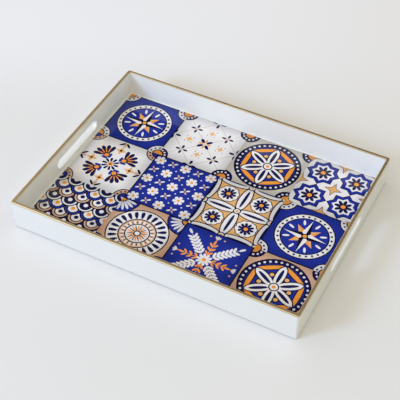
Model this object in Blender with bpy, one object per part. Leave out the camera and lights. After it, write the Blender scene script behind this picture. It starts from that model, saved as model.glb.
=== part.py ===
"""Rectangular serving tray with two cut-out handles.

A moulded white plastic body carries a gold edging along its rim, a printed sheet under a clear
film on its floor, and four rubber feet underneath. Nothing on the tray moves.

Frame: metres, +Z up, +X along the long side, origin on the table under the middle of the tray.
"""

import math

import bmesh
import bpy

# Outside of the tray
TRAY_LENGTH = 0.400
TRAY_WIDTH = 0.300
TRAY_HEIGHT = 0.045
OUTER_CORNER_RADIUS = 0.0035
INNER_CORNER_RADIUS = 0.0020

# Moulded body
WALL_THICKNESS = 0.0044
OUTSIDE_DRAFT = 0.0009
INSIDE_DRAFT = 0.0015
FLOOR_THICKNESS = 0.0030
FLOOR_FILLET = 0.0006
SKIRT_DEPTH = 0.0036
SKIRT_THICKNESS = 0.0030

# Cut-out handles in the two short walls
SLOT_LENGTH = 0.100
SLOT_HEIGHT = 0.0145
SLOT_CENTRE_HEIGHT = 0.0238

# Gold edging, a thin strip on top of the wall that rolls down over its outer edge
EDGING_HEIGHT = 0.0022
EDGING_THICKNESS = 0.0005
EDGING_ROUNDING = 0.0010

# Sheets on the floor
SHEET_MARGIN = 0.0012
PRINT_THICKNESS = 0.0004
FILM_THICKNESS = 0.0004

# Rubber feet
FOOT_DIAMETER = 0.0120
FOOT_STANDOFF = 0.0010
FOOT_INSET = 0.0200
FOOT_ROUNDING = 0.0008

# Glue line between pieces that are stuck together, and how far a cutter runs past what it cuts
GLUE_GAP = 0.0003
CUT_OVERRUN = 0.0050

# Facets
CORNER_SEGMENTS = 8
ROUND_SEGMENTS = 48
SMALL_ROUNDING_SEGMENTS = 3
EDGING_SEGMENTS = 5

# Heights above the table that the sizes above lead to
SKIRT_BOTTOM = FOOT_STANDOFF
FLOOR_UNDERSIDE = SKIRT_BOTTOM + SKIRT_DEPTH
FLOOR_TOP = FLOOR_UNDERSIDE + FLOOR_THICKNESS
PRINT_BOTTOM = FLOOR_TOP + GLUE_GAP
FILM_BOTTOM = PRINT_BOTTOM + PRINT_THICKNESS + GLUE_GAP
EDGING_BOTTOM = TRAY_HEIGHT - EDGING_HEIGHT
WALL_SHOULDER = EDGING_BOTTOM - GLUE_GAP
TONGUE_TOP = TRAY_HEIGHT - EDGING_THICKNESS - GLUE_GAP

# How far in from the rim's outside the faces of the wall, of its tongue and of the sheets lie
TONGUE_INSET = EDGING_THICKNESS + GLUE_GAP
BASE_INSET = OUTSIDE_DRAFT
FLOOR_INSET = WALL_THICKNESS + INSIDE_DRAFT
RECESS_INSET = BASE_INSET + SKIRT_THICKNESS
SHEET_INSET = FLOOR_INSET + SHEET_MARGIN


def clear_scene():
    for old in list(bpy.data.objects):
        bpy.data.objects.remove(old, do_unlink=True)


def new_collection(name):
    collection = bpy.data.collections.new(name)
    bpy.context.scene.collection.children.link(collection)
    return collection


def new_material(name, colour, roughness, metallic=0.0, alpha=1.0):
    material = bpy.data.materials.new(name)
    material.use_nodes = True
    shader = material.node_tree.nodes["Principled BSDF"]
    shader.inputs["Base Color"].default_value = (*colour, 1.0)
    shader.inputs["Roughness"].default_value = roughness
    shader.inputs["Metallic"].default_value = metallic
    shader.inputs["Alpha"].default_value = alpha
    material.diffuse_color = (*colour, alpha)
    return material


def half_sizes(inset):
    """Half length and half width of the tray's outline, moved in by inset."""
    return TRAY_LENGTH / 2 - inset, TRAY_WIDTH / 2 - inset


def mesh_object(name, bm, collection):
    mesh = bpy.data.meshes.new(name)
    bm.to_mesh(mesh)
    bm.free()
    obj = bpy.data.objects.new(name, mesh)
    collection.objects.link(obj)
    return obj


def vertical_edges(bm, low, high):
    middle = (low + high) / 2
    return [e for e in bm.edges if (e.verts[0].co.z - middle) * (e.verts[1].co.z - middle) < 0]


def level_edges(bm, height):
    return [e for e in bm.edges if all(math.isclose(v.co.z, height, abs_tol=1e-6) for v in e.verts)]


def round_edges(bm, edges, radius, segments):
    bmesh.ops.bevel(
        bm,
        geom=edges,
        offset=radius,
        offset_type="OFFSET",
        segments=segments,
        profile=0.5,
        affect="EDGES",
        clamp_overlap=True,
    )


def tapered_shape(low, low_inset, high, high_inset, corner_radius):
    """The tray's outline as a block, moved in by one inset at its foot and another at its top."""
    bm = bmesh.new()
    bmesh.ops.create_cube(bm, size=2.0)
    for vert in bm.verts:
        at_foot = vert.co.z < 0
        half_x, half_y = half_sizes(low_inset if at_foot else high_inset)
        vert.co.x *= half_x
        vert.co.y *= half_y
        vert.co.z = low if at_foot else high
    round_edges(bm, vertical_edges(bm, low, high), corner_radius, CORNER_SEGMENTS)
    return bm


def tapered_block(name, collection, low, low_inset, high, high_inset, corner_radius, floor_fillet=0.0):
    """A tapered block of the tray's outline, with a fillet round its foot where one is given."""
    bm = tapered_shape(low, low_inset, high, high_inset, corner_radius)
    if floor_fillet:
        round_edges(bm, level_edges(bm, low), floor_fillet, SMALL_ROUNDING_SEGMENTS)
    return mesh_object(name, bm, collection)


def rim_block(name, collection, low, high, inset):
    """A block whose sides, corners and rounded top edge follow the rolled rim, moved in by inset."""
    bm = tapered_shape(low, inset, high, inset, OUTER_CORNER_RADIUS - inset)
    if EDGING_ROUNDING > inset:
        round_edges(bm, level_edges(bm, high), EDGING_ROUNDING - inset, EDGING_SEGMENTS)
    return mesh_object(name, bm, collection)


def arc(centre, radius, start, turn, segments):
    steps = [start + turn * i / segments for i in range(segments + 1)]
    return [(centre[0] + radius * math.cos(a), centre[1] + radius * math.sin(a)) for a in steps]


def rounded_rectangle(half_x, half_y, radius):
    """Points round a rectangle, anticlockwise, with each corner an arc."""
    quarter = math.pi / 2
    points = []
    for i, (sx, sy) in enumerate([(1, 1), (-1, 1), (-1, -1), (1, -1)]):
        centre = (sx * (half_x - radius), sy * (half_y - radius))
        points += arc(centre, radius, i * quarter, quarter, CORNER_SEGMENTS)
    return points


def stadium(length, height):
    """Points round a slot with half-round ends, anticlockwise, long along the first axis."""
    radius = height / 2
    reach = length / 2 - radius
    half = ROUND_SEGMENTS // 2
    right_end = arc((reach, 0.0), radius, -math.pi / 2, math.pi, half)
    left_end = arc((-reach, 0.0), radius, math.pi / 2, math.pi, half)
    return right_end + left_end


def closed_curve(name, points, collection):
    curve = bpy.data.curves.new(name, "CURVE")
    curve.dimensions = "2D"
    spline = curve.splines.new("POLY")
    spline.points.add(len(points) - 1)
    for point, (x, y) in zip(spline.points, points):
        point.co = (x, y, 0.0, 1.0)
    spline.use_cyclic_u = True
    obj = bpy.data.objects.new(name, curve)
    collection.objects.link(obj)
    return obj


def flat_plate(name, points, thickness, collection):
    """An outline in the XY plane, filled and thickened equally above and below it."""
    obj = closed_curve(name, points, collection)
    obj.data.fill_mode = "BOTH"
    obj.data.extrude = thickness / 2
    return obj


def curve_to_mesh(curve_object, collection):
    name = curve_object.name
    bpy.context.view_layer.update()
    evaluated = curve_object.evaluated_get(bpy.context.evaluated_depsgraph_get())
    mesh = bpy.data.meshes.new_from_object(evaluated)
    bm = bmesh.new()
    bm.from_mesh(mesh)
    bmesh.ops.remove_doubles(bm, verts=bm.verts, dist=1e-6)
    bmesh.ops.recalc_face_normals(bm, faces=bm.faces)
    bm.to_mesh(mesh)
    bm.free()
    placed = curve_object.matrix_world.copy()
    bpy.data.objects.remove(curve_object, do_unlink=True)
    mesh.name = name
    obj = bpy.data.objects.new(name, mesh)
    obj.matrix_world = placed
    collection.objects.link(obj)
    return obj


def make_guide(obj):
    obj.hide_render = True
    obj.display_type = "WIRE"
    return obj


def apply_boolean(target, operation, tool):
    modifier = target.modifiers.new(f"{operation.lower()} {tool.name}", "BOOLEAN")
    modifier.operation = operation
    modifier.solver = "EXACT"
    modifier.object = make_guide(tool)


def finish_piece(obj, material, parent):
    obj.data.materials.clear()
    obj.data.materials.append(material)
    obj.parent = parent
    if obj.type == "MESH":
        obj.data.shade_smooth()
        obj.data.set_sharp_from_angle(angle=math.radians(30))
    return obj


def build_body(parts, cutters):
    """The moulded shell: tapered walls, raised floor, skirt, rim tongue and two handle slots."""
    body = tapered_block(
        "tray_body", parts, SKIRT_BOTTOM, BASE_INSET, WALL_SHOULDER, 0.0, OUTER_CORNER_RADIUS
    )
    tongue = rim_block("rim_tongue_block", cutters, WALL_SHOULDER - EDGING_HEIGHT, TONGUE_TOP, TONGUE_INSET)
    apply_boolean(body, "UNION", tongue)

    cavity = tapered_block(
        "inside_cutter",
        cutters,
        FLOOR_TOP,
        FLOOR_INSET,
        TRAY_HEIGHT,
        WALL_THICKNESS,
        INNER_CORNER_RADIUS,
        FLOOR_FILLET,
    )
    apply_boolean(body, "DIFFERENCE", cavity)

    recess = tapered_block(
        "underside_cutter",
        cutters,
        SKIRT_BOTTOM - CUT_OVERRUN,
        RECESS_INSET,
        FLOOR_UNDERSIDE,
        RECESS_INSET,
        INNER_CORNER_RADIUS,
    )
    apply_boolean(body, "DIFFERENCE", recess)

    wall_reach = FLOOR_INSET + 2 * CUT_OVERRUN
    for side, sign in (("left", -1), ("right", 1)):
        slot = flat_plate(f"{side}_slot_cutter", stadium(SLOT_LENGTH, SLOT_HEIGHT), wall_reach, cutters)
        slot.location = (sign * (TRAY_LENGTH - FLOOR_INSET) / 2, 0.0, SLOT_CENTRE_HEIGHT)
        slot.rotation_euler = (math.pi / 2, 0.0, math.pi / 2)
        apply_boolean(body, "DIFFERENCE", curve_to_mesh(slot, cutters))
    return body


def build_edging(parts, cutters):
    """The gold edging: a strip over the top of the wall, rolled down over the wall's outer edge."""
    edging = rim_block("gold_edging", parts, EDGING_BOTTOM, TRAY_HEIGHT, 0.0)
    below = EDGING_BOTTOM - CUT_OVERRUN
    underside = TRAY_HEIGHT - EDGING_THICKNESS
    hollow = rim_block("edging_hollow_cutter", cutters, below, underside, EDGING_THICKNESS)
    apply_boolean(edging, "DIFFERENCE", hollow)

    opening = tapered_block(
        "edging_opening_cutter",
        cutters,
        below,
        WALL_THICKNESS,
        TRAY_HEIGHT + CUT_OVERRUN,
        WALL_THICKNESS,
        INNER_CORNER_RADIUS,
    )
    apply_boolean(edging, "DIFFERENCE", opening)
    return edging


def build_sheet(name, bottom, thickness, parts):
    """A thin sheet that covers the tray's floor up to a narrow margin."""
    outline = rounded_rectangle(*half_sizes(SHEET_INSET), INNER_CORNER_RADIUS)
    sheet = flat_plate(name, outline, thickness, parts)
    sheet.location.z = bottom + thickness / 2
    return sheet


def build_foot(name, x, y, parts):
    """A round rubber pad under the floor, with its lower edge rounded."""
    height = FLOOR_UNDERSIDE - GLUE_GAP
    radius = FOOT_DIAMETER / 2
    bm = bmesh.new()
    bmesh.ops.create_cone(
        bm, cap_ends=True, segments=ROUND_SEGMENTS, radius1=radius, radius2=radius, depth=height
    )
    rounding = min(FOOT_ROUNDING, height / 2, radius / 2)
    round_edges(bm, level_edges(bm, -height / 2), rounding, SMALL_ROUNDING_SEGMENTS)
    foot = mesh_object(name, bm, parts)
    foot.location = (x, y, height / 2)
    return foot


def build_tray():
    clear_scene()
    parts = new_collection("serving_tray")
    cutters = new_collection("serving_tray_cutters")
    tray = bpy.data.objects.new("tray_frame", None)
    parts.objects.link(tray)

    white_plastic = new_material("white plastic", (0.84, 0.85, 0.86), 0.25)
    gold_foil = new_material("gold foil", (0.62, 0.46, 0.22), 0.30, metallic=1.0)
    printed_paper = new_material("printed paper", (0.30, 0.30, 0.50), 0.45)
    clear_plastic = new_material("clear plastic", (0.95, 0.95, 0.95), 0.10, alpha=0.15)
    pale_rubber = new_material("pale rubber", (0.60, 0.60, 0.58), 0.75)

    finish_piece(build_body(parts, cutters), white_plastic, tray)
    finish_piece(build_edging(parts, cutters), gold_foil, tray)
    finish_piece(build_sheet("printed_sheet", PRINT_BOTTOM, PRINT_THICKNESS, parts), printed_paper, tray)
    finish_piece(build_sheet("clear_film", FILM_BOTTOM, FILM_THICKNESS, parts), clear_plastic, tray)

    foot_x, foot_y = half_sizes(RECESS_INSET + FOOT_INSET)
    for depth, y in (("front", -foot_y), ("back", foot_y)):
        for side, x in (("left", -foot_x), ("right", foot_x)):
            finish_piece(build_foot(f"foot_{depth}_{side}", x, y, parts), pale_rubber, tray)


build_tray()
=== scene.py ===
"""Looks of the serving tray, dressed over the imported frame: a glossy white moulding with a gold
line on its rim, a print of patchwork tiles under clear film, and rubber feet. Lengths are in metres."""

import cmath
import math

import bmesh
import bpy
import numpy
from mathutils import Matrix, Vector
from mathutils.geometry import delaunay_2d_cdt


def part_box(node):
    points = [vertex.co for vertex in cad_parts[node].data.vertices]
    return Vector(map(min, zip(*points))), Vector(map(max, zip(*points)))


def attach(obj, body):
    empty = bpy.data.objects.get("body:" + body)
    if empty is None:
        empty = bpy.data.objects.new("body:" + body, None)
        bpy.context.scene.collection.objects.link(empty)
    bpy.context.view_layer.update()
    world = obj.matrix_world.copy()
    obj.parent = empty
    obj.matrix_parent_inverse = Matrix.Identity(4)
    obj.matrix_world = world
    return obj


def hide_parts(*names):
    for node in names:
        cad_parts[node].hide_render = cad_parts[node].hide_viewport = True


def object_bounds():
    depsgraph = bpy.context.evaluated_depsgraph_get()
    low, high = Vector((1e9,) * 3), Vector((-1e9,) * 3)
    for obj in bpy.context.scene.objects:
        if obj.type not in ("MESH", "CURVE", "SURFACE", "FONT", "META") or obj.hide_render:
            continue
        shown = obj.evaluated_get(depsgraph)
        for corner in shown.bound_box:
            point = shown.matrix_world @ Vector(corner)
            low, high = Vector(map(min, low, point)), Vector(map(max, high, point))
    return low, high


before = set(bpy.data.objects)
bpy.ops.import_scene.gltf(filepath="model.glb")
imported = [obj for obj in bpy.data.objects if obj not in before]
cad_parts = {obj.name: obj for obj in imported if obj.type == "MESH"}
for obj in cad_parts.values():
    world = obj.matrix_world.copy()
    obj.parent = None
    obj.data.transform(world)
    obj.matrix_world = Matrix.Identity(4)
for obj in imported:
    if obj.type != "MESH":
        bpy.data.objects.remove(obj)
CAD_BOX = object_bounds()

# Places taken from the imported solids
BODY_LOW, BODY_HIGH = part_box("tray_body")
EDGING_LOW, EDGING_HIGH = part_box("gold_edging")
PRINT_LOW, PRINT_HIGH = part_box("printed_sheet")
FILM_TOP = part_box("clear_film")[1].z
FEET = ("foot_front_left", "foot_front_right", "foot_back_left", "foot_back_right")
HALF_LENGTH = BODY_HIGH.x
HALF_WIDTH = BODY_HIGH.y
SKIRT_BOTTOM = BODY_LOW.z
RIM_TOP = EDGING_HIGH.z
FLOOR_TOP = PRINT_LOW.z
FLOOR_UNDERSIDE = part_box(FEET[0])[1].z

# Moulding
OUTER_CORNER_RADIUS = 0.0035
LEAST_CORNER_RADIUS = 0.0020
WALL_THICKNESS = 0.0044
OUTSIDE_DRAFT = 0.0009
INSIDE_DRAFT = 0.0015
SKIRT_THICKNESS = 0.0030
SKIRT_ROUNDING = 0.0003
FLOOR_FILLET = 0.0015
CORNER_STEPS = 10
ROUNDING_STEPS = 8
SMOOTH_ANGLE = math.radians(35)
POINT_MERGE = 0.000002

# Handle slots
SLOT_LENGTH = 0.100
SLOT_HEIGHT = 0.0145
SLOT_CENTRE_HEIGHT = 0.0238
SLOT_LIP = 0.0005
SLOT_STEPS = 20

# Gold line on the rim
LINE_HEIGHT = RIM_TOP - EDGING_LOW.z
LINE_INSIDE_HEIGHT = 0.0014
LINE_THICKNESS = 0.0005
LINE_OUTER_ROUNDING = 0.0010
LINE_INNER_ROUNDING = 0.0009

# Feet
FOOT_TAPER = 0.0007
FOOT_ROUNDING = 0.0010
FOOT_CUP_DEPTH = 0.0003
FOOT_CUP_SHARE = 0.55
FOOT_STEPS = 40

# Printed sheet
TILE_COLUMNS = 4
TILE_ROWS = 3
SHEET_CORNER_RADIUS = 0.0020
SHEET_MARGIN = 0.0008
TILE_SHADE = 0.70
TILE_SHADE_REACH = 0.22
PRINT_MERGE = 0.000003
MILLIMETRE = 0.001

# Tones of the finishes, which are mottled from the first to the second, and their gloss
PLASTIC_TONES = ((0.87, 0.875, 0.88), (0.84, 0.845, 0.85))
GOLD_TONES = ((0.71, 0.56, 0.35), (0.59, 0.465, 0.285))
PAPER_TONES = ((0.86, 0.85, 0.82), (0.78, 0.77, 0.74))
RUBBER_TONES = ((0.56, 0.55, 0.53), (0.46, 0.45, 0.43))
PLASTIC_IOR = 1.49
FILM_ROUGHNESS = 0.05

# Inks of the print, and how far one is lighter where it lies thin and darker where it lies thick
INKS = {
    "ivory": (0.885, 0.858, 0.892),
    "cobalt": (0.016, 0.032, 0.325),
    "indigo": (0.008, 0.009, 0.080),
    "navy": (0.004, 0.003, 0.024),
    "orange": (0.92, 0.35, 0.055),
    "apricot": (0.84, 0.47, 0.18),
    "peach": (0.74, 0.46, 0.32),
    "sand": (0.66, 0.62, 0.57),
    "paper": (0.88, 0.88, 0.87),
}
INK_NAMES = list(INKS)
THIN_INK = 1.05
THIN_INK_LIFT = 0.004
THICK_INK = 0.93

# Camera
CAMERA_AZIMUTH = math.radians(27.1355)
CAMERA_ELEVATION = math.radians(45.6678)
CAMERA_ROLL = math.radians(0.3430)
CAMERA_DISTANCE = 1.41958
CAMERA_ASIDE = -0.00565
CAMERA_RISE = 0.00485
CAMERA_LENS = 96.384
SENSOR_WIDTH = 36.0

# Light. A side of the room has the way it lies, how near to that way it fades in, and its colour.
KEY_DIRECTION = Vector((-0.53, -0.70, 0.50))
KEY_DISTANCE = 3.0
KEY_SIZE = 0.80
KEY_POWER = 27.5
KEY_COLOUR = (0.68, 1.0, 1.50)
ROOM_COLOUR = (1.08, 1.01, 0.91)
DARK_SIDE = (Vector((-0.12, 0.685, 0.718)), (0.79, 0.97), (0.06, 0.06, 0.06))
WARM_SIDE = (Vector((0.97, -0.10, 0.24)), (0.30, 0.95), (0.75, 0.74, 0.53))
BACKDROP_COLOUR = (0.80, 0.81, 0.83)

# Table. Painted light: its tones lighten towards the back and are held darker to the right, where the
# light falls off. Its painted strip of bounced light lies along the left wall and has, for each edge, the
# way in and where it fades in.
TABLE_RADIUS = 6.0
TABLE_STEPS = 96
TABLE_PAINTED_FALLOFF_TONES = ((0.793, 0.791, 0.808), (0.868, 0.877, 0.942))
TABLE_BOUNCE = (0.50, 0.50, 0.50)
TABLE_PAINTED_FALLOFF_WAY = Vector((-0.40, 0.92, 0.0))
TABLE_PAINTED_FALLOFF_FADE = (0.12, 0.36)
TABLE_PAINTED_SHADE_WAY = Vector((1.0, 0.0, 0.0))
TABLE_PAINTED_SHADE_FADE = (-0.20, 0.25)
TABLE_PAINTED_SHADE_SHARE = 0.6
PAINTED_BOUNCE_STRIP = (
    (Vector((1.0, 0.0, 0.0)), (-0.260, -0.205)),
    (Vector((-1.0, 0.0, 0.0)), (0.150, 0.190)),
    (Vector((0.0, 1.0, 0.0)), (-0.160, -0.080)),
    (Vector((0.0, -1.0, 0.0)), (-0.160, -0.080)),
)
PAINTED_BOUNCE_COLOUR = (0.89, 0.87, 0.855)


class Shade:
    """A socket of a finish. Arithmetic on it adds the Math nodes that work it out."""

    def __init__(self, finish, socket):
        self.finish = finish
        self.socket = socket

    def __add__(self, other):
        return self.finish.maths("ADD", self, other)

    __radd__ = __add__

    def __sub__(self, other):
        return self.finish.maths("SUBTRACT", self, other)

    def __rsub__(self, other):
        return self.finish.maths("SUBTRACT", other, self)

    def __mul__(self, other):
        return self.finish.maths("MULTIPLY", self, other)

    __rmul__ = __mul__


class Finish:
    """The nodes of one material, or of the world."""

    def __init__(self, owner):
        owner.use_nodes = True
        self.tree = owner.node_tree
        self.tree.nodes.clear()

    def node(self, kind, settings=None, sockets=None, output=0):
        """Adds a node, applies its settings, fills its sockets and gives back one output."""
        node = self.tree.nodes.new(kind)
        for name, value in (settings or {}).items():
            setattr(node, name, value)
        for name, value in (sockets or {}).items():
            if isinstance(value, Shade):
                self.tree.links.new(value.socket, node.inputs[name])
            else:
                node.inputs[name].default_value = value
        return Shade(self, node.outputs[output]) if node.outputs else None

    def maths(self, operation, first, second):
        return self.node("ShaderNodeMath", {"operation": operation}, {0: first, 1: second})

    def place(self):
        """Where a point is in the tray's frame."""
        return self.node("ShaderNodeTexCoord", output="Object")

    def noise(self, scale, detail=2.0):
        """Soft mottling, from 0 to 1, with this many patches to a metre."""
        sockets = {"Vector": self.place(), "Scale": scale, "Detail": detail}
        return self.node("ShaderNodeTexNoise", sockets=sockets)

    def mix(self, share, first, second):
        """The second colour over the first, by a share from 0 to 1."""
        colours = [each if isinstance(each, Shade) else (*each, 1.0) for each in (first, second)]
        sockets = {0: share, 6: colours[0], 7: colours[1]}
        return self.node("ShaderNodeMix", {"data_type": "RGBA"}, sockets, output=2)

    def rise(self, place, way, edges):
        """From 0 to 1, softly, as a place goes this way from the first edge to the second."""
        sockets = {0: place, 1: way}
        along = self.node("ShaderNodeVectorMath", {"operation": "DOT_PRODUCT"}, sockets, output="Value")
        sockets = {"Value": along, "From Min": edges[0], "From Max": edges[1]}
        return self.node("ShaderNodeMapRange", {"interpolation_type": "SMOOTHSTEP"}, sockets)

    def bump(self, height, depth):
        """A surface that rises by a height from 0 to 1 times this depth."""
        return self.node("ShaderNodeBump", sockets={"Height": height, "Distance": depth})

    def surface(self, sockets):
        shader = self.node("ShaderNodeBsdfPrincipled", sockets=sockets)
        self.node("ShaderNodeOutputMaterial", sockets={"Surface": shader})


def new_finish(name):
    material = bpy.data.materials.new(name)
    return material, Finish(material)


def white_plastic():
    """Glossy white moulding: even colour, a faint flow of tone and the soft ripple of its mould."""
    material, finish = new_finish("white_plastic")
    flow = finish.noise(scale=14.0)
    ripple = finish.noise(scale=420.0)
    handling = finish.noise(scale=55.0, detail=4.0)
    finish.surface({
        "Base Color": finish.mix(flow, *PLASTIC_TONES),
        "Roughness": 0.16 + 0.12 * handling,
        "Normal": finish.bump(ripple, depth=0.00002),
        "IOR": PLASTIC_IOR,
    })
    return material


def gold_foil():
    """Thin satin gold over the rim, duller where it has been handled."""
    material, finish = new_finish("gold_foil")
    tone = finish.noise(scale=60.0)
    handling = finish.noise(scale=240.0, detail=4.0)
    finish.surface({
        "Base Color": finish.mix(tone, *GOLD_TONES),
        "Roughness": 0.32 + 0.17 * handling,
        "Metallic": 1.0,
        "Normal": finish.bump(handling, depth=0.00004),
    })
    return material


def tile_edge(finish):
    """From 0 inside a tile of the print to 1 along its edges."""
    nearest = 1.0
    for axis, count in enumerate((TILE_COLUMNS, TILE_ROWS)):
        span = PRINT_HIGH[axis] - PRINT_LOW[axis] - 2 * SHEET_MARGIN
        along = finish.node("ShaderNodeSeparateXYZ", sockets={0: finish.place()}, output=axis)
        distance = finish.maths("PINGPONG", along * (count / span) + count / 2, 0.5)
        nearest = finish.maths("MINIMUM", distance, nearest)
    sockets = {"Value": nearest, "From Min": TILE_SHADE_REACH, "From Max": 0.0}
    return finish.node("ShaderNodeMapRange", {"interpolation_type": "SMOOTHSTEP"}, sockets)


def printed_ink(name):
    """One ink of the print, a little uneven, seen through the glossy film that covers it."""
    material, finish = new_finish(f"{name}_ink")
    colour = INKS[name]
    thin = [channel * THIN_INK + THIN_INK_LIFT for channel in colour]
    thick = [channel * THICK_INK for channel in colour]
    shaded = [channel * TILE_SHADE for channel in colour]
    edge = 0.0 if name == "paper" else tile_edge(finish)
    wave = finish.noise(scale=22.0, detail=1.0)
    uneven = finish.mix(finish.noise(scale=130.0, detail=4.0), thin, thick)
    finish.surface({
        "Base Color": finish.mix(edge, uneven, shaded),
        "Roughness": 0.55 + 0.10 * finish.noise(scale=300.0),
        "Normal": finish.bump(wave, depth=0.00012),
        "Specular IOR Level": 0.0,
        "Coat Weight": 1.0,
        "Coat Roughness": FILM_ROUGHNESS,
    })
    return material


def paper_edge():
    """White paper at the cut edge and back of the printed sheet."""
    material, finish = new_finish("paper_edge")
    fibre = finish.noise(scale=700.0, detail=5.0)
    finish.surface({
        "Base Color": finish.mix(fibre, *PAPER_TONES),
        "Roughness": 0.75 + 0.15 * fibre,
        "Normal": finish.bump(fibre, depth=0.00004),
    })
    return material


def pale_rubber():
    """Soft grey-white rubber of the feet, with a fine matt grain."""
    material, finish = new_finish("pale_rubber")
    grain = finish.noise(scale=1500.0, detail=3.0)
    dust = finish.noise(scale=160.0, detail=4.0)
    finish.surface({
        "Base Color": finish.mix(dust, *RUBBER_TONES),
        "Roughness": 0.55 + 0.25 * grain,
        "Normal": finish.bump(grain, depth=0.00005),
    })
    return material


def table_top():
    """Plain matt table with painted light: lighter towards the back, darker to the right, and paler in a
    painted strip of bounced light beside the lit left wall; a plain grey in its bounce.
    """
    material, finish = new_finish("table_top")
    # Painted light: the table is painted lighter towards the back and less so towards the right, where
    # the light falls off.
    share = finish.rise(finish.place(), TABLE_PAINTED_FALLOFF_WAY, TABLE_PAINTED_FALLOFF_FADE)
    painted_right_shade = finish.rise(finish.place(), TABLE_PAINTED_SHADE_WAY, TABLE_PAINTED_SHADE_FADE)
    colour = finish.mix(share * (1.0 - TABLE_PAINTED_SHADE_SHARE * painted_right_shade), *TABLE_PAINTED_FALLOFF_TONES)
    # Painted bounced light: the table is painted paler in a strip beside the lit left wall.
    strip = 1.0
    for way, edges in PAINTED_BOUNCE_STRIP:
        strip = strip * finish.rise(finish.place(), way, edges)
    colour = finish.mix(strip, colour, PAINTED_BOUNCE_COLOUR)
    looked_at = finish.node("ShaderNodeLightPath", output="Is Camera Ray")
    mirrored = finish.node("ShaderNodeLightPath", output="Is Glossy Ray")
    matt = {"Roughness": 1.0, "Specular IOR Level": 0.0}
    seen = finish.node("ShaderNodeBsdfPrincipled", sockets=matt | {"Base Color": colour})
    grey = finish.node("ShaderNodeBsdfPrincipled", sockets=matt | {"Base Color": (*TABLE_BOUNCE, 1.0)})
    shader = finish.node("ShaderNodeMixShader", sockets={0: looked_at + mirrored, 1: grey, 2: seen})
    finish.node("ShaderNodeOutputMaterial", sockets={"Surface": shader})
    return material


def new_object(name, mesh):
    piece = bpy.data.objects.new(name, mesh)
    bpy.context.scene.collection.objects.link(piece)
    return piece


def mesh_from(name, shape):
    """Turns a finished bmesh into a clean mesh whose faces all point outwards."""
    bmesh.ops.remove_doubles(shape, verts=shape.verts, dist=POINT_MERGE)
    bmesh.ops.dissolve_degenerate(shape, edges=shape.edges, dist=POINT_MERGE)
    bmesh.ops.recalc_face_normals(shape, faces=shape.faces)
    mesh = bpy.data.meshes.new(name)
    shape.to_mesh(mesh)
    shape.free()
    return mesh


def smooth(piece):
    """Shades a piece smoothly, with its broad faces kept flat and its square edges sharp."""
    for face in piece.data.polygons:
        face.use_smooth = True
    piece.data.set_sharp_from_angle(angle=SMOOTH_ANGLE)
    weighting = piece.modifiers.new("flat_broad_faces", "WEIGHTED_NORMAL")
    weighting.keep_sharp = True


def rounded_corners(corners):
    """Turns corners (across, height, radius) into a path of points with each corner rounded."""
    path = []
    for index, (across, height, radius) in enumerate(corners):
        here = Vector((across, height))
        if radius == 0 or index in (0, len(corners) - 1):
            path.append(here)
            continue
        back = (Vector(corners[index - 1][:2]) - here).normalized()
        ahead = (Vector(corners[index + 1][:2]) - here).normalized()
        half_angle = back.angle(ahead) / 2
        centre = here + (back + ahead).normalized() * radius / math.sin(half_angle)
        start = (here + back * radius / math.tan(half_angle) - centre).normalized()
        end = (here + ahead * radius / math.tan(half_angle) - centre).normalized()
        for step in range(ROUNDING_STEPS + 1):
            path.append(centre + start.slerp(end, step / ROUNDING_STEPS) * radius)
    return path


def rounded_rectangle(half_length, half_width, radius):
    """Points round a rectangle with rounded corners."""
    points = []
    for turn, (side_x, side_y) in enumerate(((1, 1), (-1, 1), (-1, -1), (1, -1))):
        for step in range(CORNER_STEPS + 1):
            angle = math.pi / 2 * (turn + step / CORNER_STEPS)
            x = side_x * (half_length - radius) + radius * math.cos(angle)
            y = side_y * (half_width - radius) + radius * math.sin(angle)
            points.append((x, y))
    return points


def rim_loop(inset, height):
    """A loop round the tray, this far in from the rim's outer face."""
    radius = max(OUTER_CORNER_RADIUS - inset, LEAST_CORNER_RADIUS)
    outline = rounded_rectangle(HALF_LENGTH - inset, HALF_WIDTH - inset, radius)
    return [(x, y, height) for x, y in outline]


def loft(loops, ring=False):
    """A closed skin through loops of points: joined end to end as a ring, or else capped."""
    shape = bmesh.new()
    rows = [[shape.verts.new(point) for point in loop] for loop in loops]
    count = len(loops[0])
    for index in range(len(rows) if ring else len(rows) - 1):
        low = rows[index]
        high = rows[(index + 1) % len(rows)]
        for step in range(count):
            after = (step + 1) % count
            shape.faces.new((low[step], low[after], high[after], high[step]))
    if not ring:
        shape.faces.new(rows[0])
        shape.faces.new(rows[-1])
    return shape


def outside_inset(height):
    """How far the outer wall has leaned in from the rim at this height."""
    return OUTSIDE_DRAFT * (RIM_TOP - height) / (RIM_TOP - SKIRT_BOTTOM)


def inside_inset(height):
    """How far the inner wall is from the rim's outer face at this height."""
    return WALL_THICKNESS + INSIDE_DRAFT * (RIM_TOP - height) / (RIM_TOP - FLOOR_TOP)


def slot_loop(x, growth):
    """A round-ended loop round a handle slot at x, larger than the slot by a growth."""
    radius = SLOT_HEIGHT / 2 + growth
    reach = (SLOT_LENGTH - SLOT_HEIGHT) / 2
    points = []
    for turn, side in enumerate((1, -1)):
        for step in range(SLOT_STEPS + 1):
            angle = math.pi * (turn - 0.5 + step / SLOT_STEPS)
            y = side * reach + radius * math.cos(angle)
            z = SLOT_CENTRE_HEIGHT + radius * math.sin(angle)
            points.append((x, y, z))
    return points


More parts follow.
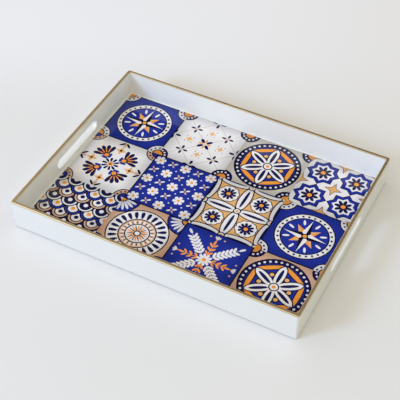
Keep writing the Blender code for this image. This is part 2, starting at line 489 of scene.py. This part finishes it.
def slot_cutter(side):
    """What a handle slot takes out of the short wall on one side, with rounded lips."""
    outer = outside_inset(SLOT_CENTRE_HEIGHT)
    inner = inside_inset(SLOT_CENTRE_HEIGHT)
    turns = [math.pi / 2 * step / ROUNDING_STEPS for step in range(ROUNDING_STEPS + 1)]
    lip = [(SLOT_LIP * (1 - math.cos(a)), SLOT_LIP * (1 - math.sin(a))) for a in turns]
    profile = [(outer - WALL_THICKNESS, SLOT_LIP)]
    profile += [(outer + inset, growth) for inset, growth in lip]
    profile += [(inner - inset, growth) for inset, growth in reversed(lip)]
    profile.append((inner + WALL_THICKNESS, SLOT_LIP))
    loops = [slot_loop(side * (HALF_LENGTH - inset), growth) for inset, growth in profile]
    return new_object("slot_cutter", mesh_from("slot_cutter", loft(loops)))


def cut(piece, cutters):
    """Takes the cutters out of a piece for good."""
    for cutter in cutters:
        boolean = piece.modifiers.new("slot", "BOOLEAN")
        boolean.object = cutter
        boolean.solver = "EXACT"
    evaluated = piece.evaluated_get(bpy.context.evaluated_depsgraph_get())
    shape = bmesh.new()
    shape.from_mesh(evaluated.to_mesh())
    piece.modifiers.clear()
    piece.data = mesh_from(piece.name, shape)
    for cutter in cutters:
        bpy.data.objects.remove(cutter)


def make_moulding():
    """The white body: floor, skirt, tapered walls, the tongue under the gold line, and two slots."""
    shoulder = RIM_TOP - LINE_HEIGHT
    ledge = RIM_TOP - LINE_INSIDE_HEIGHT
    tongue_top = RIM_TOP - LINE_THICKNESS
    tongue_out = outside_inset(shoulder) + LINE_THICKNESS
    tongue_in = inside_inset(ledge) - LINE_THICKNESS
    skirt_out = outside_inset(SKIRT_BOTTOM)
    skirt_in = skirt_out + SKIRT_THICKNESS
    floor_edge = inside_inset(FLOOR_TOP)
    section = rounded_corners((
        (skirt_in + SKIRT_THICKNESS, FLOOR_UNDERSIDE, 0),
        (skirt_in, FLOOR_UNDERSIDE, SKIRT_ROUNDING),
        (skirt_in, SKIRT_BOTTOM, SKIRT_ROUNDING),
        (skirt_out, SKIRT_BOTTOM, SKIRT_ROUNDING),
        (outside_inset(shoulder), shoulder, 0),
        (tongue_out, shoulder, 0),
        (tongue_out, tongue_top, LINE_OUTER_ROUNDING - LINE_THICKNESS),
        (tongue_in, tongue_top, LINE_INNER_ROUNDING - LINE_THICKNESS),
        (tongue_in, ledge, 0),
        (inside_inset(ledge), ledge, 0),
        (floor_edge, FLOOR_TOP, FLOOR_FILLET),
        (floor_edge + 2 * FLOOR_FILLET, FLOOR_TOP, 0),
    ))
    loops = [rim_loop(inset, height) for inset, height in section]
    body = new_object("moulded_body", mesh_from("moulded_body", loft(loops)))
    cut(body, [slot_cutter(1), slot_cutter(-1)])
    body.data.materials.append(white_plastic())
    smooth(body)
    return body


def make_gold_line():
    """The gold that caps the rim all the way round and rolls over both of its edges."""
    shoulder = RIM_TOP - LINE_HEIGHT
    ledge = RIM_TOP - LINE_INSIDE_HEIGHT
    underside = RIM_TOP - LINE_THICKNESS
    out = outside_inset(shoulder)
    inner = inside_inset(ledge)
    section = rounded_corners((
        (out, shoulder, 0),
        (outside_inset(RIM_TOP), RIM_TOP, LINE_OUTER_ROUNDING),
        (inside_inset(RIM_TOP), RIM_TOP, LINE_INNER_ROUNDING),
        (inner, ledge, 0),
        (inner - LINE_THICKNESS, ledge, 0),
        (inner - LINE_THICKNESS, underside, LINE_INNER_ROUNDING - LINE_THICKNESS),
        (out + LINE_THICKNESS, underside, LINE_OUTER_ROUNDING - LINE_THICKNESS),
        (out + LINE_THICKNESS, shoulder, 0),
    ))
    loops = [rim_loop(inset, height) for inset, height in section]
    line = new_object("gold_line", mesh_from("gold_line", loft(loops, ring=True)))
    line.data.materials.append(gold_foil())
    smooth(line)
    return line


def make_foot(node, rubber):
    """One moulded pad: it narrows to a rounded edge and stands on a ring round a shallow cup."""
    low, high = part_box(node)
    middle = (low + high) / 2
    top_radius = (high.x - low.x) / 2
    base_radius = top_radius - FOOT_TAPER
    cup = base_radius * FOOT_CUP_SHARE
    profile = rounded_corners((
        (top_radius * FOOT_CUP_SHARE, FLOOR_UNDERSIDE, 0),
        (top_radius, FLOOR_UNDERSIDE, 0),
        (base_radius, low.z, FOOT_ROUNDING),
        (cup, low.z, FOOT_CUP_DEPTH),
        (cup * FOOT_CUP_SHARE, low.z + FOOT_CUP_DEPTH, 0),
    ))
    turns = [math.tau * step / FOOT_STEPS for step in range(FOOT_STEPS)]
    loops = [
        [(middle.x + radius * math.cos(a), middle.y + radius * math.sin(a), height) for a in turns]
        for radius, height in profile
    ]
    foot = new_object(f"rubber_{node}", mesh_from(f"rubber_{node}", loft(loops)))
    foot.data.materials.append(rubber)
    smooth(foot)
    return foot


# Outlines of the print's shapes, in a tile's own units, from -1 to 1. A point is a complex number.

def around(count, start=0.0):
    """Angles of a number of equal turns."""
    return [start + math.tau * step / count for step in range(count)]


SIDES = around(4)
DIAGONALS = around(4, math.pi / 4)
CORNERS = [cmath.rect(math.sqrt(2), angle) for angle in DIAGONALS]


# Steps of the curves, the fullness of a leaf and of a drop-shaped petal, and the line round a shape
LEAST_DISC_STEPS = 12
DISC_STEPS = 24
PETAL_STEPS = 9
LOBE_STEPS = 8
LEAF = 0.5
DROP = 0.68
OUTLINE = 0.034


def disc(at, radius):
    steps = LEAST_DISC_STEPS + round(DISC_STEPS * radius)
    return [at + cmath.rect(radius, angle) for angle in around(steps)]


def petal(start, tip, width, fullness):
    """A petal from start to tip. Fullness 0.5 is a leaf, and more is fuller towards the tip."""
    along = tip - start
    across = along / abs(along) * 1j * width / 2
    peak = fullness ** fullness * (1 - fullness) ** (1 - fullness)
    edge = []
    for step in range(1, PETAL_STEPS):
        share = step / PETAL_STEPS
        bulge = share ** fullness * (1 - share) ** (1 - fullness) / peak
        edge.append((share, bulge))
    right = [start + along * share - across * bulge for share, bulge in edge]
    left = [start + along * share + across * bulge for share, bulge in reversed(edge)]
    return [start] + right + [tip] + left


def star(at, outer, inner, points):
    """A star with straight edges."""
    outline = []
    for angle in around(points):
        outline.append(at + cmath.rect(outer, angle))
        outline.append(at + cmath.rect(inner, angle + math.pi / points))
    return outline


def bar(start, end, width):
    """A straight stroke."""
    across = (end - start) / abs(end - start) * 1j * width / 2
    return [start - across, end - across, end + across, start + across]


def scallop(at, radius, lobes, depth):
    """A disc with a scalloped edge."""
    outline = []
    for angle in around(lobes * LOBE_STEPS):
        reach = radius - depth + depth * abs(math.sin(lobes * angle / 2))
        outline.append(at + cmath.rect(reach, angle))
    return outline


class Tile:
    """One square of the print: its shapes in the order they are laid, each with an ink."""

    def __init__(self, ground):
        self.ground = ground
        self.shapes = []

    def lay(self, outline, ink):
        self.shapes.append((outline, ink))

    def disc(self, at, radius, ink, line=None):
        """A disc, with a line round it where an ink for that is given."""
        if line:
            self.lay(disc(at, radius + OUTLINE), line)
        self.lay(disc(at, radius), ink)

    def frame(self, width, ink):
        """A border along the four edges."""
        strip = [complex(1, -1), complex(1, 1), complex(1 - width, 1), complex(1 - width, -1)]
        for angle in SIDES:
            self.lay([cmath.rect(1, angle) * corner for corner in strip], ink)

    def petals(self, at, angles, inner, outer, width, ink, fullness=DROP, line=None):
        """Petals that point out from a place at these angles, lined where an ink is given."""
        coats = [(OUTLINE, line)] if line else []
        for growth, coat in coats + [(0, ink)]:
            for angle in angles:
                base = at + cmath.rect(inner - growth, angle)
                tip = at + cmath.rect(outer + growth, angle)
                self.lay(petal(base, tip, width + 2 * growth, fullness), coat)

    def fan(self, at, facing, spread, count, inner, outer, width, ink, fullness=DROP):
        """Petals that spread out from a place, on both sides of the way it faces."""
        angles = [facing + spread * ((step + 0.5) / count - 0.5) for step in range(count)]
        self.petals(at, angles, inner, outer, width, ink, fullness)

    def floret(self, at, radius, count, ink, heart, start=0.0):
        """A small flower with a round heart."""
        width = radius * (3.6 / count)
        self.petals(at, around(count, start), radius * 0.12, radius, width, ink)
        self.disc(at, radius * 0.26, heart)

    def tulip(self, at, facing, size, ink, heart):
        """A bud of three petals on a round heart."""
        self.fan(at, facing, 1.7, 3, size * 0.1, size, size * 0.38, ink)
        self.disc(at, size * 0.18, heart)

    def sprig(self, start, tip, pairs, leaf, width, ink):
        """A stem with pairs of leaves and one leaf at its tip."""
        along = tip - start
        facing = cmath.phase(along)
        lean = 0.75
        self.lay(petal(start, tip, width * 0.35, LEAF), ink)
        for pair in range(pairs):
            joint = start + along * (0.12 + 0.66 * pair / (pairs - 1))
            self.petals(joint, [facing + lean, facing - lean], 0.01, leaf, width, ink, LEAF)
        self.petals(tip, [facing], -0.02, leaf * 0.9, width, ink, LEAF)

    def corner_rounds(self, ink, beads, heart, reach=0.34):
        """Quarter of a beaded roundel in each corner."""
        for corner in CORNERS:
            self.disc(corner, reach, ink, "navy")
            for angle in around(12, math.pi / 12):
                self.disc(corner + cmath.rect(reach * 0.76, angle), 0.032, beads)
            self.disc(corner, reach * 0.48, heart, "navy")

    def point(self, length, width, angle, inks):
        """A point of a compass rose, split along its length into two inks."""
        tip = cmath.rect(length, angle)
        left = cmath.rect(width, angle + math.pi / 4)
        right = cmath.rect(width, angle - math.pi / 4)
        self.lay([0, right, tip], inks[0])
        self.lay([0, tip, left], inks[1])


def star_cross_tile():
    """Four eight-pointed stars that leave crosses of ivory between them."""
    tile = Tile("ivory")
    for angle in DIAGONALS:
        at = cmath.rect(math.sqrt(0.5), angle)
        tile.lay(star(at, 0.50, 0.383, 8), "navy")
        tile.lay(star(at, 0.465, 0.356, 8), "cobalt")
        tile.lay(star(at, 0.34, 0.26, 8), "ivory")
        tile.petals(at, around(8), 0.05, 0.26, 0.10, "indigo", LEAF)
        tile.disc(at, 0.07, "orange", "navy")
    grid = (-1, 0, 1)
    for x in grid:
        for y in grid:
            tile.lay(star(complex(x, y), 0.27, 0.10, 4), "navy")
            tile.lay(star(complex(x, y), 0.22, 0.08, 4), "apricot")
    return tile


def compass_tile():
    """Compass rose with split points in a beaded ring, on cobalt."""
    tile = Tile("cobalt")
    tile.frame(0.035, "navy")
    tile.corner_rounds("ivory", "indigo", "orange")
    tile.disc(0, 0.80, "ivory", "navy")
    for angle in around(28):
        tile.disc(cmath.rect(0.725, angle), 0.034, "indigo")
    tile.disc(0, 0.64, "cobalt", "navy")
    for angle in around(8, math.pi / 8):
        tile.petals(0, [angle], 0.40, 0.60, 0.07, "ivory", LEAF)
    for angle in DIAGONALS:
        tile.point(0.47, 0.17, angle, ("orange", "apricot"))
    for angle in SIDES:
        tile.point(0.62, 0.17, angle, ("navy", "ivory"))
    tile.disc(0, 0.06, "orange", "navy")
    return tile


def lattice_tile():
    """Ivory leaves that meet in circles on apricot, with a blue flower in each space."""
    tile = Tile("apricot")
    tile.frame(0.03, "navy")
    grid = (-1, 0, 1)
    for x in grid:
        for y in grid:
            for angle in (0, math.pi / 2):
                tile.petals(complex(x, y), [angle], 0.03, 0.97, 0.30, "ivory", LEAF, "navy")
                tile.petals(complex(x, y), [angle], 0.14, 0.86, 0.09, "indigo", LEAF)
    for angle in DIAGONALS:
        at = cmath.rect(math.sqrt(0.5), angle)
        tile.lay(scallop(at, 0.325, 10, 0.03), "navy")
        tile.lay(scallop(at, 0.30, 10, 0.03), "ivory")
        tile.floret(at, 0.23, 10, "indigo", "orange")
    for x in grid:
        for y in grid:
            tile.disc(complex(x, y), 0.08, "ivory", "navy")
            tile.disc(complex(x, y), 0.04, "orange")
    return tile


def wheel_tile():
    """Wheel of petals in a ring, on peach."""
    tile = Tile("peach")
    for corner in CORNERS:
        tile.disc(corner, 0.52, "cobalt", "navy")
        tile.fan(corner, cmath.phase(-corner), math.pi / 2, 5, 0.13, 0.47, 0.075, "ivory", 0.6)
        tile.disc(corner, 0.12, "orange", "navy")
    tile.disc(0, 0.84, "ivory", "navy")
    tile.petals(0, around(24), 0.53, 0.80, 0.105, "indigo")
    tile.disc(0, 0.50, "peach", "navy")
    tile.petals(0, around(20), 0.34, 0.48, 0.06, "ivory", LEAF)
    tile.petals(0, around(20, math.pi / 20), 0.36, 0.44, 0.03, "navy", LEAF)
    tile.disc(0, 0.32, "ivory", "navy")
    tile.petals(0, around(20), 0.08, 0.30, 0.03, "navy", LEAF)
    tile.petals(0, around(10), 0.08, 0.28, 0.05, "orange", LEAF)
    tile.disc(0, 0.07, "ivory", "navy")
    return tile


def scales_tile():
    """Rows of overlapping round scales, each with rings inside it."""
    tile = Tile("ivory")
    radius = 0.25
    inks = (("cobalt", "ivory", "orange"), ("ivory", "indigo", "ivory"), ("peach", "ivory", "indigo"))
    for row in range(-4, 5):
        edge, ring, heart = inks[row % len(inks)]
        for column in range(-2, 3):
            at = complex((2 * column + row % 2) * radius, row * radius)
            tile.disc(at, radius * 0.90, edge, "navy")
            tile.disc(at, radius * 0.58, ring, "navy")
            tile.disc(at, radius * 0.26, heart)
    return tile


def blossom_tile():
    """Small blossoms in staggered rows, on cobalt."""
    tile = Tile("cobalt")
    tile.frame(0.035, "navy")
    step = 0.4
    for row in range(-2, 3):
        for column in range(-2, 3):
            at = complex(column, row) * step
            if (row + column) % 2 == 0:
                tile.floret(at, 0.17, 6, "ivory", "orange", (row * 2 + column) * 0.7)
            else:
                tile.petals(at, [0.6, 0.6 + math.pi], 0.02, 0.15, 0.06, "ivory", LEAF)
                tile.petals(at, [0.6 + math.pi / 2, 0.6 - math.pi / 2], 0.02, 0.13, 0.05, "peach", LEAF)
    for x in (-3, -1, 1, 3):
        for y in (-3, -1, 1, 3):
            tile.disc(complex(x, y) * step / 2, 0.022, "ivory")
    return tile


def trellis_tile():
    """Fine trellis on ivory, with leaves where it crosses and a small star in each space."""
    tile = Tile("ivory")
    tile.frame(0.02, "sand")
    for start, end in zip(SIDES, SIDES[1:] + SIDES[:1]):
        tile.lay(bar(cmath.rect(1, start), cmath.rect(1, end), 0.022), "sand")
    for corner in CORNERS:
        tile.lay(bar(0j, corner, 0.022), "sand")
        tile.petals(corner / 2, SIDES, 0.04, 0.19, 0.075, "indigo", LEAF)
        tile.disc(corner / 2, 0.03, "orange")
    for angle in SIDES:
        at = cmath.rect(0.5, angle)
        tile.lay(star(at, 0.13, 0.05, 4), "apricot")
        tile.petals(cmath.rect(1, angle), SIDES, 0.05, 0.22, 0.085, "indigo", LEAF)
        for turn in DIAGONALS:
            tile.disc(at + cmath.rect(0.15, turn), 0.016, "navy")
    tile.petals(0, DIAGONALS, 0.05, 0.25, 0.10, "indigo", LEAF)
    tile.petals(0, SIDES, 0.05, 0.20, 0.06, "orange", LEAF)
    tile.corner_rounds("indigo", "ivory", "orange", 0.26)
    return tile


def hexafoil_tile(ground):
    """Six leaves, drawn as with compasses, in a cobalt roundel with a beaded edge."""
    tile = Tile(ground)
    tile.corner_rounds("indigo", "ivory", "orange", 0.30)
    tile.disc(0, 0.93, "indigo", "navy")
    for angle in around(36):
        tile.disc(cmath.rect(0.865, angle), 0.036, "ivory")
    tile.disc(0, 0.80, "cobalt", "navy")
    leaves = around(6, math.pi / 6)
    tips = [cmath.rect(0.77, angle) for angle in leaves]
    for tip, following in zip(tips, tips[1:] + tips[:1]):
        tile.lay(petal(tip, following, 0.19, LEAF), "navy")
        tile.lay(petal(tip, following, 0.13, LEAF), "orange")
    tile.petals(0, leaves, 0.04, 0.77, 0.25, "ivory", LEAF, "navy")
    tile.petals(0, leaves, 0.14, 0.66, 0.10, "indigo", LEAF)
    for angle in around(6):
        tile.disc(cmath.rect(0.42, angle), 0.06, "apricot", "navy")
    tile.disc(0, 0.11, "ivory", "navy")
    tile.disc(0, 0.055, "orange")
    return tile


def tulip_tile():
    """Four large tulips on ivory that point to the corners."""
    tile = Tile("ivory")
    tile.corner_rounds("peach", "indigo", "cobalt", 0.30)
    for angle in DIAGONALS:
        at = cmath.rect(0.40, angle)
        tile.fan(at, angle, 2.3, 5, 0.05, 0.42, 0.115, "indigo")
        tile.fan(at, angle, 1.8, 4, 0.10, 0.30, 0.035, "orange", LEAF)
        tile.disc(at, 0.07, "orange", "navy")
        tile.fan(cmath.rect(0.24, angle), angle, 3.0, 2, 0.02, 0.24, 0.08, "cobalt", LEAF)
    for angle in SIDES:
        tile.lay(star(cmath.rect(0.62, angle), 0.18, 0.08, 4), "apricot")
        tile.disc(cmath.rect(0.62, angle), 0.04, "navy")
        tile.petals(cmath.rect(0.98, angle), [angle + math.pi], 0.02, 0.20, 0.09, "peach")
        tile.fan(cmath.rect(0.98, angle), angle + math.pi, 3.2, 2, 0.02, 0.24, 0.07, "navy", LEAF)
    tile.petals(0, around(10), 0.08, 0.26, 0.075, "indigo")
    tile.disc(0, 0.08, "orange")
    tile.disc(0, 0.03, "navy")
    return tile


def branch_tile():
    """Leafy branches that cross on cobalt."""
    tile = Tile("cobalt")
    tile.frame(0.035, "navy")
    for angle in DIAGONALS:
        tile.sprig(cmath.rect(0.14, angle), cmath.rect(1.0, angle), 6, 0.20, 0.075, "ivory")
    for angle in SIDES:
        tile.sprig(cmath.rect(0.14, angle), cmath.rect(0.60, angle), 3, 0.17, 0.065, "orange")
        tile.tulip(cmath.rect(0.78, angle), angle, 0.14, "ivory", "orange")
        for lean in (-0.24, 0.24):
            tile.disc(cmath.rect(0.86, angle + lean), 0.03, "peach")
    tile.floret(0, 0.22, 10, "ivory", "orange")
    return tile


def patchwork():
    """The tiles of the print by rows from the back, each from left to right."""
    return (
        (compass_tile(), trellis_tile(), hexafoil_tile("sand"), star_cross_tile()),
        (tulip_tile(), blossom_tile(), lattice_tile(), compass_tile()),
        (scales_tile(), wheel_tile(), branch_tile(), hexafoil_tile("peach")),
    )


def print_outlines():
    """The outlines of each tile in millimetres, with their inks: its square, then its shapes in order."""
    length = (PRINT_HIGH.x - PRINT_LOW.x - 2 * SHEET_MARGIN) / MILLIMETRE
    width = (PRINT_HIGH.y - PRINT_LOW.y - 2 * SHEET_MARGIN) / MILLIMETRE
    half_x = length / TILE_COLUMNS / 2
    half_y = width / TILE_ROWS / 2
    square = [complex(-1, -1), complex(1, -1), complex(1, 1), complex(-1, 1)]
    tiles = []
    for row, row_tiles in enumerate(patchwork()):
        for column, tile in enumerate(row_tiles):
            middle_x = half_x * (2 * column + 1) - length / 2
            middle_y = width / 2 - half_y * (2 * row + 1)
            tiles.append([
                ([(middle_x + p.real * half_x, middle_y + p.imag * half_y) for p in outline], ink)
                for outline, ink in [(square, tile.ground)] + tile.shapes
            ])
    return tiles


def covered(outline, places):
    """The numbers of the places that an outline covers."""
    corners = numpy.array(outline)
    near = numpy.all((places >= corners.min(axis=0)) & (places <= corners.max(axis=0)), axis=1)
    numbers = numpy.flatnonzero(near)
    across, up = places[numbers].T
    inside = numpy.zeros(len(numbers), dtype=bool)
    for (start_x, start_y), (end_x, end_y) in zip(corners, numpy.roll(corners, -1, axis=0)):
        if start_y != end_y:
            crossing = start_x + (up - start_y) * (end_x - start_x) / (end_y - start_y)
            inside ^= ((start_y > up) != (end_y > up)) & (across < crossing)
    return numbers[inside]


def middle(corners):
    """The middle of a face's corners."""
    return sum(corners, Vector((0, 0))) / len(corners)


def print_faces():
    """Splits the sheet where its shapes cross, and gives each face the ink that lies on top."""
    tiles = print_outlines()
    half_length = (PRINT_HIGH.x - PRINT_LOW.x) / 2 / MILLIMETRE
    half_width = (PRINT_HIGH.y - PRINT_LOW.y) / 2 / MILLIMETRE
    sheet = rounded_rectangle(half_length, half_width, SHEET_CORNER_RADIUS / MILLIMETRE)
    points = []
    loops = []
    for outline in [sheet] + [outline for tile in tiles for outline, ink in tile]:
        loops.append(list(range(len(points), len(points) + len(outline))))
        points += [Vector(point) for point in outline]
    points, _, faces = delaunay_2d_cdt(points, [], loops, 1, PRINT_MERGE / MILLIMETRE, True)[:3]
    middles = numpy.array([middle([points[corner] for corner in face]) for face in faces])
    inks = numpy.full(len(faces), INK_NAMES.index("paper"))
    for tile in tiles:
        members = covered(tile[0][0], middles)
        for outline, ink in tile:
            inks[members[covered(outline, middles[members])]] = INK_NAMES.index(ink)
    return points, [(faces[number], int(inks[number])) for number in covered(sheet, middles)]


def make_print():
    """The printed sheet with its film: a closed slab whose top is split into inked faces."""
    points, faces = print_faces()
    shape = bmesh.new()
    top = [shape.verts.new((x * MILLIMETRE, y * MILLIMETRE, FILM_TOP)) for x, y in points]
    for corners, ink in faces:
        face = shape.faces.new([top[corner] for corner in corners])
        face.material_index = ink
    bmesh.ops.delete(shape, geom=[v for v in shape.verts if not v.link_faces], context="VERTS")
    rim = [corner for corner in shape.verts if corner.is_boundary]
    rim.sort(key=lambda corner: math.atan2(corner.co.y, corner.co.x))
    base = [shape.verts.new((corner.co.x, corner.co.y, PRINT_LOW.z)) for corner in rim]
    edges = [(rim[step - 1], rim[step], base[step], base[step - 1]) for step in range(len(rim))]
    for corners in edges + [base]:
        shape.faces.new(corners).material_index = len(INKS)
    sheet =new_object("tile_print", mesh_from("tile_print", shape))
    for name in INK_NAMES:
        sheet.data.materials.append(printed_ink(name))
    sheet.data.materials.append(paper_edge())
    return sheet


def dress_tray():
    """Puts every piece in place of its solids."""
    pieces = [
        (make_moulding(), "white_plastic", ("tray_body",)),
        (make_gold_line(), "gold_foil", ("gold_edging",)),
        (make_print(), "printed_paper", ("printed_sheet", "clear_film")),
    ]
    rubber = pale_rubber()
    pieces += [(make_foot(node, rubber), "pale_rubber", (node,)) for node in FEET]
    for piece, slot, nodes in pieces:
        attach(piece, "root")
        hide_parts(*nodes)


def lay_table():
    """A wide pale table under the feet."""
    ground = CAD_BOX[0][2]
    shape = bmesh.new()
    turns = [math.tau * step / TABLE_STEPS for step in range(TABLE_STEPS)]
    rim = [(TABLE_RADIUS * math.cos(a), TABLE_RADIUS * math.sin(a), ground) for a in turns]
    shape.faces.new([shape.verts.new(point) for point in rim])
    table = new_object("table", mesh_from("table", shape))
    table.data.materials.append(table_top())


def light_tray():
    """One soft window at the front left, in a pale room that is dark above the tray's far side and warm
    on the right. The camera sees a plain backdrop instead of the room."""
    lamp = bpy.data.lights.new("window_light", "AREA")
    lamp.shape = "SQUARE"
    lamp.size = KEY_SIZE
    lamp.energy = KEY_POWER
    lamp.color = KEY_COLOUR
    direction = KEY_DIRECTION.normalized()
    lamp_object = bpy.data.objects.new("window_light", lamp)
    lamp_object.rotation_euler = direction.to_track_quat("Z", "Y").to_euler()
    lamp_object.location = direction * KEY_DISTANCE
    bpy.context.scene.collection.objects.link(lamp_object)
    world = bpy.data.worlds.new("room")
    bpy.context.scene.world = world
    room = Finish(world)
    towards = room.node("ShaderNodeTexCoord", output="Generated")
    colour = ROOM_COLOUR
    for way, edges, side_colour in (DARK_SIDE, WARM_SIDE):
        colour = room.mix(room.rise(towards, way, edges), colour, side_colour)
    seen = room.node("ShaderNodeLightPath", output="Is Camera Ray")
    glow = room.node("ShaderNodeBackground", sockets={"Color": room.mix(seen, colour, BACKDROP_COLOUR)})
    room.node("ShaderNodeOutputWorld", sockets={"Surface": glow})


def set_camera():
    """Stands the camera where the photograph was taken from."""
    level = math.cos(CAMERA_ELEVATION)
    back = Vector((
        math.sin(CAMERA_AZIMUTH) * level,
        -math.cos(CAMERA_AZIMUTH) * level,
        math.sin(CAMERA_ELEVATION),
    ))
    flat_right = Vector((math.cos(CAMERA_AZIMUTH), math.sin(CAMERA_AZIMUTH), 0))
    flat_up = back.cross(flat_right)
    right = flat_right * math.cos(CAMERA_ROLL) + flat_up * math.sin(CAMERA_ROLL)
    up = flat_up * math.cos(CAMERA_ROLL) - flat_right * math.sin(CAMERA_ROLL)
    place = right * CAMERA_ASIDE + up * CAMERA_RISE + back * CAMERA_DISTANCE
    lens = bpy.data.cameras.new("camera")
    lens.sensor_width = SENSOR_WIDTH
    lens.lens = CAMERA_LENS
    camera = bpy.data.objects.new("camera", lens)
    camera.matrix_world = Matrix.LocRotScale(place, Matrix((right, up, back)).transposed(), None)
    bpy.context.scene.collection.objects.link(camera)
    bpy.context.scene.camera = camera


set_camera()
light_tray()
lay_table()
dress_tray()
bpy.context.scene.view_settings.view_transform = "Standard"
